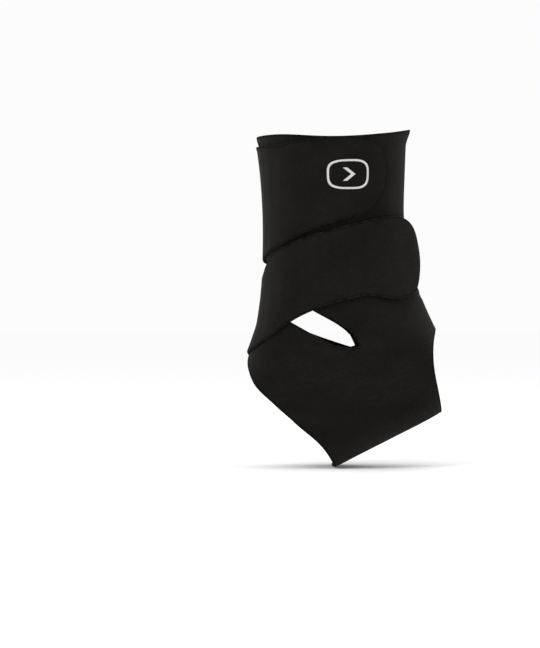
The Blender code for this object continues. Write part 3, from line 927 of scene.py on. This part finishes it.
def bend_across(piece, child, line, band):
    """Bakes the piece's placement into its mesh. The axis of child's joint and the way along the strap at the
    line are worked out, but the piece does not bend.
    """
    axis = Vector(JOINTS[child]["axis"]).normalized()
    angle = float(np.mean(line))
    along = Vector(outward(angle, band.station(angle, 0.5)).tolist()).cross(axis).normalized()
    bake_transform(piece)


def strap(prefix, band, lines, tip, kick, slant=0.0):
    net, splits = strap_net(band, lines, tip, slant)
    lift = strap_lift(band, lines, tip, kick)
    pieces = build(f"{prefix}_strap", net, lift, STRAP_THICK, BLACK_KNIT, splits)
    bodies = ["sleeve", f"{prefix}_front", f"{prefix}_side", f"{prefix}_tab"]
    for piece, parent, child, line in zip(pieces, bodies, bodies[1:], lines[1:]):
        bend_across(piece, child, line, band)
    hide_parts(f"{prefix}_strap_root")
    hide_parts(f"{prefix}_strap_front", f"{prefix}_strap_side")
    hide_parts(f"{prefix}_strap_tab")
    return lift


# --- hook and loop pads

# First and last angle, and the share of the strap's width left free at each edge.
UPPER_LOOP = (67.5, 120.0, 0.12)
UPPER_HOOK = (75.0, 112.5, 0.16)
LOWER_LOOP = (82.5, 157.5, 0.12)
LOWER_HOOK = (90.0, 142.5, 0.16)
PAD_RADIUS = 3.5  # mm
PAD_STEP = 1.2  # mm
PAD_TRIM = 0.01  # mm cut off all round
HOOK_PITCH = 1.25  # mm
HOOK_WIDE = 0.2 * MM
HOOK_ROOT = 0.1 * MM  # how deep a hook starts in its tape
# Along a hook: how far down, how far aside, and how thick, as shares of its length and width.
HOOK_SPINE = [(0.0, 0.0, 1.0), (0.55, 0.0, 0.8), (0.9, 0.25, 0.62), (1.0, 0.75, 0.45), (0.72, 1.05, 0.3)]


def pad_places(area, band, step):
    """Angles, stations and weave of a grid over a pad, pulled in from the strap's edges."""
    start, end, inset = area
    width = 2 * band.half
    angles = np.linspace(start, end, max(3, round((end - start) * MM_PER_DEGREE / step)))
    share = np.linspace(inset, 1 - inset, max(3, round(width * (1 - 2 * inset) / step)))[:, None]
    stations = band.station(angles, share)
    return np.broadcast_to(angles, stations.shape), stations, weave_map(angles, share * width)


def rounded_box(low, high, radius):
    """Signed distance from a rectangle with rounded corners, positive inside."""
    middle, half = (low + high) / 2, (high - low) / 2

    def distance(spots):
        over = np.abs(spots - middle) - half + radius
        outside = np.linalg.norm(np.maximum(over, 0), axis=1)
        return radius - outside - np.minimum(over.max(1), 0)

    return distance


def pad(name, area, band, lift, thickness, look):
    """A pad with rounded corners on the strap's own grid."""
    start, end, inset = area
    width = 2 * band.half
    net = Net(*pad_places(area, band, PAD_STEP))
    low = np.array([start * MM_PER_DEGREE, inset * width])
    high = np.array([end * MM_PER_DEGREE, (1 - inset) * width])
    inside = rounded_box(low, high, PAD_RADIUS)

    def distance(spots):
        angle, station = spots.T
        return inside(weave_map(angle, band.share(angle, station) * width)) - PAD_TRIM

    net.cut(distance, 0.25 * PAD_STEP)
    return build(name, net, lambda angle, station: lift, thickness, look)


def add_shapes(obj, points=(), faces=()):
    """Adds closed shapes to a mesh object, and turns all its closed shapes to face outwards."""
    bm = bmesh.new()
    bm.from_mesh(obj.data)
    made = [bm.verts.new(point) for point in points]
    for face in faces:
        bm.faces.new([made[i] for i in face]).smooth = True
    bmesh.ops.recalc_face_normals(bm, faces=bm.faces)
    bm.to_mesh(obj.data)
    bm.free()


def tube_faces(first, rings, sides):
    """Faces of a closed tube: its rings of points follow one another from the first point on."""
    faces = []
    for ring in range(rings - 1):
        near, far = first + sides * ring, first + sides * (ring + 1)
        faces += [(near + k, far + k, far + (k + 1) % sides, near + (k + 1) % sides) for k in range(sides)]
    last = first + sides * rings - 1
    return [*faces, tuple(first + k for k in range(sides)), tuple(last - k for k in range(sides))]


def hooks(backing, area, band):
    """Rows of small J hooks under a pad, each a tapered stalk whose end bends along the strap."""
    angles, stations, _ = pad_places(area, band, HOOK_PITCH)
    inside = np.ones(angles.shape, bool)
    inside[[0, -1]] = inside[:, [0, -1]] = False
    inside[1:3, 1:3] = inside[1:3, -3:-1] = inside[-3:-1, 1:3] = inside[-3:-1, -3:-1] = False
    angle, station = angles[inside], stations[inside]
    turned = np.where(np.arange(len(angle)) % 2 == 0, 1.0, -1.0)[:, None]
    root, normal = on_form(angle, station, HOOK_LIFT + HOOK_ROOT), outward(angle, station)
    along = unit(np.cross(normal, (0.0, 0.0, 1.0)))
    down = np.cross(normal, along)
    rings = []
    for deep, aside, size in HOOK_SPINE:
        centre = root - normal * (HOOK_LONG + HOOK_ROOT) * deep + along * turned * HOOK_WIDE * aside
        for a, b in ((1, 1), (1, -1), (-1, -1), (-1, 1)):
            rings.append(centre + (along * a + down * b) * HOOK_WIDE * size / 2)
    points = np.stack(rings, 1).reshape(-1, 3)
    faces = []
    for first in range(0, len(points), 4 * len(HOOK_SPINE)):
        faces += tube_faces(first, len(HOOK_SPINE), 4)
    add_shapes(backing, points.tolist(), faces)


def pads(prefix, band, loop, hook):
    soft = pad(f"{prefix}_loop_pile", loop, band, LOOP_LIFT, LOOP_THICK, LOOP_PILE)
    settle(soft, "sleeve", "loop_tape", f"{prefix}_loop_pad")
    stiff = pad(f"{prefix}_hook_tape", hook, band, HOOK_LIFT, HOOK_THICK, HOOK_NYLON)
    hooks(stiff, hook, band)
    settle(stiff, f"{prefix}_tab", "hook_tape", f"{prefix}_hook_pad")


# --- the printed mark

MARK_CENTRE = (99.5, 1.08)  # angle and station, as the next two
MARK_SIZE = (15.0, 0.34)
MARK_LINE = (1.35, 0.04)
MARK_SQUARE = 0.6
CHEVRON_REACH = 6.0
CHEVRON_LINE = 3.0
CHEVRON_RISE = 0.15
PRINT_LIFT = STRAP_THICK - 0.03 * MM
PRINT_THICK = 0.13 * MM


def mark(tab_lift):
    """A plain grey frame on the upper tab, with a chevron that shows which way to pull."""

    def printed(name, node, angles, stations, ring):
        net = Net(angles, stations, weave_map(angles, stations * RIM_STATION), ring)
        made = build(name, net, lambda *place: tab_lift(*place) + PRINT_LIFT, PRINT_THICK, GREY_INK)
        settle(made, "upper_tab", "grey_print", node)

    turn = -np.linspace(0, 2 * math.pi, 120, endpoint=False)[None, :]
    inwards = np.linspace(1, 0, 4)[:, None]
    wide, high = MARK_SIZE[0] - MARK_LINE[0] * inwards, MARK_SIZE[1] - MARK_LINE[1] * inwards
    angles = MARK_CENTRE[0] + wide * squared(np.cos(turn), MARK_SQUARE)
    stations = MARK_CENTRE[1] + high * squared(np.sin(turn), MARK_SQUARE)
    printed("printed_frame", "print_frame", angles, stations, True)
    climb = np.linspace(-1, 1, 25)[:, None]
    across = np.linspace(-0.5, 0.5, 5)[None, :]
    angles = MARK_CENTRE[0] + CHEVRON_REACH * (0.5 - np.abs(climb)) + CHEVRON_LINE * across
    stations = MARK_CENTRE[1] + CHEVRON_RISE * climb + 0 * across
    printed("printed_chevron", "print_chevron", angles, stations, False)


# --- bands, tape and label inside

CUFF_GRIP = (0.16, 0.42)  # stations from the rim
ARCH_GRIP = (-0.62, -0.3)  # stations from the front edge
ARCH_GRIP_ANGLES = (-150.0, 150.0)
GRIP_STATION = 21.0  # mm from one station to the next, at the bands
GRIP_BASE = 0.35 * MM
BEAD_HIGH = 0.4 * MM
BEADS = (0.2, 0.5, 0.8)  # shares of the band's width
SEAM_ANGLES = (173.0, 187.0)
SEAM_STATIONS = (0.55, 4.6)
TAPE_THICK = 0.4 * MM
LABEL_ANGLES = (141.0, 155.0)
LABEL_STATIONS = (0.62, 1.75)
LABEL_THICK = 0.2 * MM
PATCH_STATION = 23.0  # mm from one station to the next, at the tape and the label
BOND = 0.02 * MM  # room for glue under a patch


def grip(name, node, angles, edge_at, reach, ring):
    """A silicone band with three wavy beads towards the skin."""
    wide = reach[1] - reach[0]
    share = np.linspace(0, 1, 19)[:, None]
    stations = edge_at(angles) + reach[0] + wide * share

    def thick(angle, station):
        at = (station - edge_at(angle) - reach[0]) / wide
        sway = 0.07 * np.sin(np.radians(angle) * 48)
        return GRIP_BASE + BEAD_HIGH * sum(bump(middle + sway, 0.075, at) for middle in BEADS)

    def lift(angle, station):
        return panel_lift(angle, station) - thick(angle, station)

    net = Net(angles, stations, weave_map(angles, share * wide * GRIP_STATION), ring)
    settle(build(name, net, lift, thick, SILICONE), "sleeve", "silicone", node)


def grips():
    grip("cuff_grip", "cuff_grip_band", np.arange(-180, 180, 1.25), rim, CUFF_GRIP, True)
    under = np.linspace(*ARCH_GRIP_ANGLES, 221)
    grip("arch_grip", "arch_grip_band", under, front_edge, ARCH_GRIP, False)


def patch(name, node, slot, area, thickness, look, step):
    """A thin rectangular layer bonded inside the sleeve."""
    (left, right), (top, bottom) = area
    angles = np.linspace(left, right, max(4, round((right - left) * MM_PER_DEGREE / step)))
    stations = np.linspace(top, bottom, round((bottom - top) * PATCH_STATION / step))[:, None]

    def lift(angle, station):
        return panel_lift(angle, station) - thickness - BOND

    net = Net(angles, stations, weave_map(angles, (stations - top) * PATCH_STATION))
    settle(build(name, net, lift, thickness, look), "sleeve", slot, node)


def tape_and_label():
    seam, label = (SEAM_ANGLES, SEAM_STATIONS), (LABEL_ANGLES, LABEL_STATIONS)
    patch("seam_tape_twill", "back_seam_tape", "seam_tape", seam, TAPE_THICK, TWILL, 1.2)
    patch("blank_label", "care_label", "label", label, LABEL_THICK, SATIN, 0.8)


# --- the cold pack

PACK_STATION = 3.0
PACK_ANGLES = (-140.0, -66.0)
PACK_LOW, PACK_HIGH = 96.0 * MM, 162.0 * MM
PACK_RADIUS = 38.0 * MM
PACK_DEPTH = 0.8 * MM  # from the sleeve to the pack, at its fullest
PACK_PUFF = 2.2 * MM  # from the welds to the fullest part of a cell
PACK_BORDER = 6.0 * MM
BORDER_WELD = 0.85 * PACK_BORDER
LINE_START = 1.5 * PACK_BORDER  # from the border to the welded lines, so that gel can pass
GEL_ROWS = 3  # of two cells each
FILM_THICK = 0.22 * MM
WELD_HALF = 0.06 * MM  # from the middle of a weld to a film
GEL_HALF = 0.04 * MM  # and to the gel that is left in it
POUCH_COLUMNS, POUCH_ROWS = 49, 67
GEL_INSET = slice(4, -4)  # rows and columns of the pouch that hold gel
CLOTH_SCALE = 10.0
CLOTH_START = 0.3 * MM  # from the welds to each film before the pressure
CLOTH_FRAMES = 20


def flat_pouch():
    """The pouch laid flat: its grid in metres, how far from its border, and where its films are welded."""
    wide = math.radians(PACK_ANGLES[1] - PACK_ANGLES[0]) * PACK_RADIUS
    high = PACK_HIGH - PACK_LOW
    across, down = np.linspace(-0.5, 0.5, POUCH_COLUMNS), np.linspace(0.5, -0.5, POUCH_ROWS)
    x, y = np.meshgrid(across * wide, down * high)
    from_border = np.minimum(wide / 2 - np.abs(x), high / 2 - np.abs(y))
    line = 0.6 * wide / POUCH_COLUMNS
    on_line = np.abs(x) < line
    for k in range(1, GEL_ROWS):
        on_line |= np.abs(y - high * (k / GEL_ROWS - 0.5)) < line
    return x, y, from_border, (from_border < BORDER_WELD) | (on_line & (from_border > LINE_START))


def pouch_mesh(x, y, welded):
    """Two films over the grid, larger than life, that share the points of their welds. Also the point of each
    film at each place of the grid."""
    front = np.arange(x.size).reshape(x.shape)
    back = front.copy()
    back[~welded] = x.size + np.arange((~welded).sum())
    flat = np.stack([x, y, 0 * x], -1) * CLOTH_SCALE
    start = np.array([0.0, 0.0, CLOTH_START * CLOTH_SCALE])
    points = [*(flat + start * ~welded[..., None]).reshape(-1, 3), *(flat[~welded] - start)]
    faces = []
    for cell in grid_faces(*x.shape):
        faces.append(cell)
        if not welded.flat[list(cell)].all():
            faces.append(tuple(int(back.flat[i]) for i in reversed(cell)))
    mesh = bpy.data.meshes.new("cloth_pouch")
    mesh.from_pydata([point.tolist() for point in points], [], faces)
    return mesh, front, back


def blown_up(mesh, free):
    """The mesh's points in metres after cloth simulation, with pressure on the free points."""
    obj = add_object("cloth_pouch", mesh)
    obj.vertex_groups.new(name="free").add(free, 1.0, "REPLACE")
    cloth = obj.modifiers.new("Cloth", "CLOTH").settings
    cloth.quality = 6
    cloth.mass = 0.2
    cloth.tension_stiffness = cloth.compression_stiffness = 25
    cloth.shear_stiffness = 10
    cloth.bending_stiffness = 0.4
    cloth.use_pressure = True
    cloth.uniform_pressure_force = 4.0
    cloth.vertex_group_pressure = "free"
    cloth.effector_weights.gravity = 0
    for number in range(1, CLOTH_FRAMES + 1):
        bpy.context.scene.frame_set(number)
    done = obj.evaluated_get(bpy.context.evaluated_depsgraph_get())
    moved = np.empty(len(mesh.vertices) * 3)
    done.data.vertices.foreach_get("co", moved)
    moved = moved.reshape(-1, 3) / CLOTH_SCALE
    bpy.data.objects.remove(obj)
    bpy.context.scene.frame_set(1)
    return moved - moved.mean(0)


def level_outward(angles):
    """The outward normal at the pack's station, laid level, so that the pack is an upright shape."""
    return unit(outward(angles, PACK_STATION) * (1, 1, 0))


def in_pocket(grid, depth):
    """Bends a flat grid to the pack's upright shape, at a depth inside the form."""
    angles = np.mean(PACK_ANGLES) + np.degrees(grid[..., 0] / PACK_RADIUS)
    points = skin(angles, PACK_STATION) - level_outward(angles) * depth[..., None]
    points[..., 2] = (PACK_LOW + PACK_HIGH) / 2 + grid[..., 1]
    return points


def cold_pack():
    """A clear film pouch of blue gel, welded into cells. Its films pucker along the welds."""
    x, y, from_border, welded = flat_pouch()
    mesh, front, back = pouch_mesh(x, y, welded)
    free = [i for i in range(len(mesh.vertices)) if i >= x.size or not welded.flat[i]]
    moved = blown_up(mesh, free)
    front, back = moved[front], moved[back]
    fit = PACK_PUFF / max(front[..., 2].max(), -back[..., 2].min())
    middle = (front[..., 2] + back[..., 2]) / 2 * fit
    half = np.maximum((front[..., 2] - back[..., 2]) / 2 * fit, 0)
    seal = PACK_DEPTH + 2 * FILM_THICK + PACK_PUFF - middle
    outer = in_pocket(front, seal - half - WELD_HALF)
    inner = in_pocket(back, seal + half + WELD_HALF + FILM_THICK)
    weave = front[..., :2] / MM
    for side, film in (("outer", outer), ("inner", inner)):
        over = thickened(film, FILM_THICK)
        made = loft(f"pouch_film_{side}", film, over, PACK_FILM, weave, from_border.ravel())
        settle(made, "cold_pack", "pack_film", f"pack_film_{side}")
    core = (GEL_INSET, GEL_INSET)
    gel_outer = in_pocket(front, seal - half - GEL_HALF)[core]
    gel_inner = in_pocket(back, seal + half + GEL_HALF)[core]
    settle(loft("blue_gel", gel_inner, gel_outer, COLD_GEL, weave[core]), "cold_pack", "cold_gel", "gel_core")


# --- the pack's pocket

POCKET_ANGLES = (-157.5, -50.0)
POCKET_STATIONS = (1.15, 4.0)
POCKET_LONG = 62.0  # mm
POCKET_SLOPE = 6.0 * MM
POCKET_SLOPE_ANGLE = 14.0
POCKET_DEPTH = 6.6 * MM
POCKET_BOND = 0.05 * MM
POCKET_THICK = 0.35 * MM
HEM_ROWS = 7
HEM_SHARE = 0.065
HEM_PROUD = 0.12 * MM
HEM_THICK = 0.65 * MM


def pocket_points(angles, share):
    """Places of the pocket: bonded to the sleeve at both sides and at the bottom, loose towards the top."""
    stations = POCKET_STATIONS[0] + (POCKET_STATIONS[1] - POCKET_STATIONS[0]) * share[:, None]
    bonded = on_form(angles[None, :], stations, -POCKET_BOND - POCKET_THICK)
    upright = skin(angles, PACK_STATION) - level_outward(angles) * POCKET_DEPTH
    loose = np.broadcast_to(upright, bonded.shape).copy()
    loose[..., 2] = bonded[..., 2]
    from_ends = np.minimum(angles - POCKET_ANGLES[0], POCKET_ANGLES[1] - angles) / POCKET_SLOPE_ANGLE
    from_bottom = (bonded[..., 2] - bonded[-1:, :, 2]) / POCKET_SLOPE
    free = smoothstep(0, 1, from_ends[None, :]) * smoothstep(0, 1, from_bottom)
    return bonded + (loose - bonded) * free[..., None]


def pack_pocket():
    """A pocket of stretch mesh on the lateral wall, with a bound top edge."""
    angles = np.linspace(*POCKET_ANGLES, 64)
    share = np.linspace(0, 1, 52)
    wall = pocket_points(angles, share)
    weave = weave_map(angles, share[:, None] * POCKET_LONG)
    made = loft("pocket_mesh_wall", wall, thickened(wall, POCKET_THICK), POWER_MESH, weave)
    settle(made, "sleeve", "pocket_mesh", "pack_pocket")
    hem = pocket_points(angles, np.linspace(0, HEM_SHARE, HEM_ROWS)) - level_outward(angles) * HEM_PROUD
    bound = loft("pocket_binding_tape", hem, thickened(hem, HEM_THICK), BINDING, weave[:HEM_ROWS])
    settle(bound, "sleeve", "seam_tape")


# --- stitching

STITCH_LONG = 2.3 * MM
STITCH_GAP = 0.8 * MM
STITCH_WIDE = 0.42 * MM
STITCH_RINGS = 6
STITCH_SIDES = 6
ROOT_ROWS = (3.4, 8.0)  # degrees from a strap's sewn end
LABEL_MARGIN = (1.2, 0.05)  # angle and station


def stitch_row(places, normals):
    """Points and faces of a row of stitches along a line: flattened capsules pressed into the cloth."""
    reach = np.concatenate([[0], np.linalg.norm(np.diff(places, axis=0), axis=1).cumsum()])
    arch = np.sin(np.linspace(0.12, math.pi - 0.12, STITCH_RINGS))
    points, faces = [], []
    for start in np.arange(STITCH_GAP, reach[-1] - STITCH_LONG, STITCH_LONG + STITCH_GAP):
        at = start + np.linspace(0, 1, STITCH_RINGS) * STITCH_LONG
        spine = np.stack([np.interp(at, reach, places[:, k]) for k in range(3)], -1)
        normal = np.stack([np.interp(at, reach, normals[:, k]) for k in range(3)], -1)
        side = unit(np.cross(np.gradient(spine, axis=0), normal))
        faces += tube_faces(len(points), STITCH_RINGS, STITCH_SIDES)
        for k in range(STITCH_RINGS):
            centre = spine[k] + normal[k] * STITCH_WIDE * (0.55 * arch[k] - 0.35)
            size = STITCH_WIDE / 2 * (0.55 + 0.45 * arch[k])
            for corner in range(STITCH_SIDES):
                turn = 2 * math.pi * corner / STITCH_SIDES
                points.append(centre + (side[k] * math.cos(turn) + normal[k] * math.sin(turn)) * size)
    return points, faces


def stitching(name, rows, slot, side):
    """One object of several rows: each its angles, stations and lift. Side is 1 outside and -1 inside."""
    points, faces = [], []
    for angles, stations, lift in rows:
        places = on_form(angles, stations, lift)
        more, shapes = stitch_row(places, outward(angles, stations) * side)
        faces += [tuple(i + len(points) for i in face) for face in shapes]
        points += more
    blank, far = np.zeros((len(points), 2)), np.ones(len(points)) * MM
    made = mesh_object(name, np.array(points), faces, blank, far, BLACK_THREAD)
    add_shapes(made)
    settle(made, "sleeve", slot)


def root_rows(band, line, lift):
    """Two rows of stitches across a strap's root, where it is sewn to the sleeve."""
    share = np.linspace(0.03, 0.97, 60)
    rows = []
    for offset in ROOT_ROWS:
        angles = bend_line(line, band, share) + offset
        stations = band.station(angles, share)
        rows.append((angles, stations, lift(angles, stations) + STRAP_THICK))
    return rows


def stitches(upper_lift, lower_lift):
    rows = root_rows(UPPER, UPPER_LINES[0], upper_lift) + root_rows(LOWER, LOWER_LINES[0], lower_lift)
    stitching("root_stitches", rows, "strap_fabric", 1)
    aside, inset = LABEL_MARGIN
    angles = np.linspace(LABEL_ANGLES[0] + aside, LABEL_ANGLES[1] - aside, 24)
    rows = [(angles, LABEL_STATIONS[0] + inset, -LABEL_THICK - BOND)]
    rows += [(angles, LABEL_STATIONS[1] - inset, -LABEL_THICK - BOND)]
    stitching("label_stitches", rows, "label", -1)


# --- floor, light and camera

FLOOR_HALF = 30.0
FLOOR_GAP = 0.5 * MM
# Name, place, size in metres and power in watts.
LAMPS = [
    ("key", (-0.9, -1.2, 1.2), 0.9, 11.0),
    ("fill", (1.2, -1.0, 0.6), 1.0, 4.0),
    ("back", (0.3, 1.3, 1.0), 1.0, 5.0),
]
LIT = Vector((-0.03, 0, 0.07))
CAMERA_AWAY = 1.6
CAMERA_LENS = 148.0
CAMERA_LEFT = 0.044  # the wrap stands right of the view's middle, and above it
CAMERA_DOWN = 0.0156


def floor():
    """A wide white floor that is clear from below."""
    low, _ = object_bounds()
    mesh = bpy.data.meshes.new("floor")
    wide, ground = FLOOR_HALF, low.z - FLOOR_GAP
    corners = [(-wide, -wide, ground), (wide, -wide, ground), (wide, wide, ground), (-wide, wide, ground)]
    mesh.from_pydata(corners, [], [(0, 1, 2, 3)])
    look = Look("floor_white")
    look.set(Base_Color=(0.99, 0.99, 0.99, 1.0), Roughness=0.9, Specular_IOR_Level=0.0)
    from_below = add_node(look.tree, "ShaderNodeNewGeometry", output=6)
    clear = add_node(look.tree, "ShaderNodeBsdfTransparent")
    white = Value(look.shader.outputs[0])
    both = add_node(look.tree, "ShaderNodeMixShader", i0=from_below, i1=white, i2=clear)
    put(look.tree.nodes["Material Output"].inputs[0], both)
    mesh.materials.append(look.material)
    add_object("floor", mesh)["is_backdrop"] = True


def lights():
    world = bpy.data.worlds.new("studio")
    bpy.context.scene.world = world
    world.use_nodes = True
    world.node_tree.nodes["Background"].inputs[0].default_value = (0.975, 0.975, 0.975, 1.0)
    world.node_tree.nodes["Background"].inputs[1].default_value = 1.0
    for name, place, size, power in LAMPS:
        light = bpy.data.lights.new(name, "AREA")
        light.size = size
        light.energy = power
        lamp = add_object(name, light)
        lamp.location = place
        lamp.rotation_euler = (LIT - Vector(place)).to_track_quat("-Z", "Y").to_euler()
    bpy.context.scene.view_settings.view_transform = "Standard"


def camera():
    """A long lens at the height of the ankle, looking straight at the medial side."""
    data = bpy.data.cameras.new("camera")
    data.lens = CAMERA_LENS
    made = add_object("camera", data)
    middle = [(low + high) / 2 for low, high in zip(cad_low, cad_high)]
    made.location = (middle[0] - CAMERA_LEFT, -CAMERA_AWAY, middle[2] - CAMERA_DOWN)
    made.rotation_euler = Vector((0.0, 1.0, 0.0)).to_track_quat("-Z", "Y").to_euler()
    bpy.context.scene.camera = made


sleeve()
upper_lift = strap("upper", UPPER, UPPER_LINES, UPPER_TIP, UPPER_KICK)
lower_lift = strap("lower", LOWER, LOWER_LINES, LOWER_TIP, LOWER_KICK, LOWER_SLANT)
pads("upper", UPPER, UPPER_LOOP, UPPER_HOOK)
pads("lower", LOWER, LOWER_LOOP, LOWER_HOOK)
mark(upper_lift)
grips()
tape_and_label()
pack_pocket()
cold_pack()
stitches(upper_lift, lower_lift)
floor()
lights()
camera()
